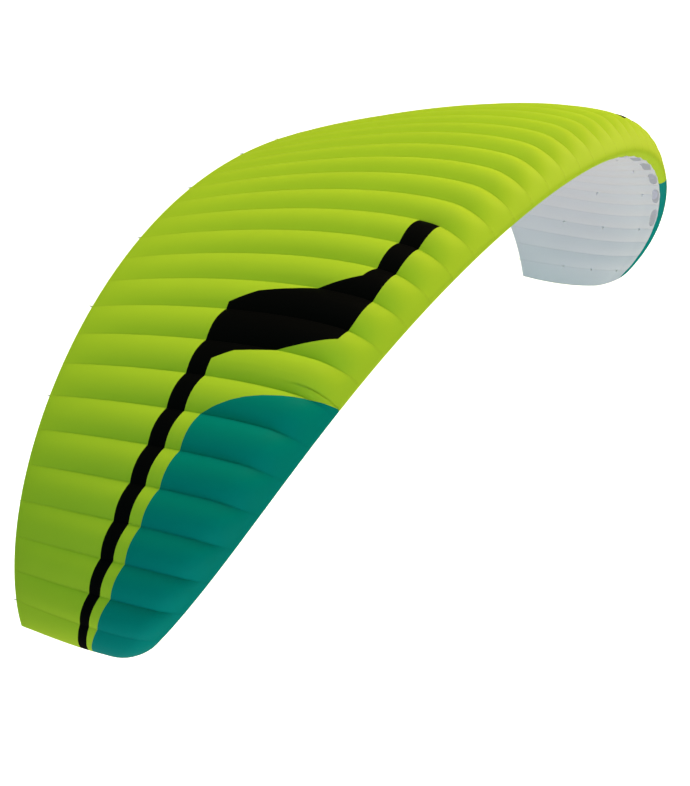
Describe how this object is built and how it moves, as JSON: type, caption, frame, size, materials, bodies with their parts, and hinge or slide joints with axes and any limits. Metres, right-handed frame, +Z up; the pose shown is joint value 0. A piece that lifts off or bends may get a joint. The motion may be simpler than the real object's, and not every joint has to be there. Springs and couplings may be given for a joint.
{
  "type": "paraglider canopy",
  "caption": "Inflated ram-air paraglider canopy, arched and swept, with sewn cells, open air mouths below the nose, webbing line tabs and closed wing tips.",
  "frame": {"origin": "on the centre section's chord line, at 30 percent of the chord from the leading edge", "axes": "+X along the span towards the left wing tip, -Y in the direction of flight, +Z up out of the upper skin"},
  "size_m": [8.6756, 3.0431, 2.8245],
  "materials": {
    "lime_fabric": "coated ripstop, soft sheen",
    "black_fabric": "coated ripstop, soft sheen",
    "teal_fabric": "coated ripstop, soft sheen",
    "white_fabric": "coated ripstop, matt",
    "rib_fabric": "stiffened ripstop, matt"
  },
  "bodies": {
    "root": {"line_rib_right_1": "rib_fabric", "line_rib_right_2": "rib_fabric", "line_rib_right_3": "rib_fabric", "line_rib_right_4": "rib_fabric", "line_rib_right_5": "rib_fabric", "line_rib_right_6": "rib_fabric", "line_rib_right_7": "rib_fabric", "line_rib_left_1": "rib_fabric", "line_rib_left_2": "rib_fabric", "line_rib_left_3": "rib_fabric", "line_rib_left_4": "rib_fabric", "line_rib_left_5": "rib_fabric", "line_rib_left_6": "rib_fabric", "line_rib_left_7": "rib_fabric", "lower_skin_centre": "white_fabric", "lower_skin_right_1": "white_fabric", "lower_skin_right_2": "white_fabric", "lower_skin_right_3": "white_fabric", "lower_skin_right_4": "white_fabric", "lower_skin_right_5": "white_fabric", "lower_skin_right_6": "white_fabric", "lower_skin_left_1": "white_fabric", "lower_skin_left_2": "white_fabric", "lower_skin_left_3": "white_fabric", "lower_skin_left_4": "white_fabric", "lower_skin_left_5": "white_fabric", "lower_skin_left_6": "white_fabric", "upper_skin_centre": "lime_fabric", "upper_skin_right_1": "lime_fabric", "upper_skin_right_2": "lime_fabric", "upper_skin_right_3": "lime_fabric", "upper_skin_right_4": "lime_fabric", "upper_skin_right_5": "lime_fabric", "upper_skin_right_6": "lime_fabric", "upper_skin_left_1": "lime_fabric", "upper_skin_left_2": "lime_fabric", "upper_skin_left_3": "lime_fabric", "upper_skin_left_4": "lime_fabric", "upper_skin_left_5": "lime_fabric", "upper_skin_left_6": "lime_fabric", "wingtip_right": "teal_fabric", "wingtip_left": "teal_fabric"}
  },
  "joints": []
}
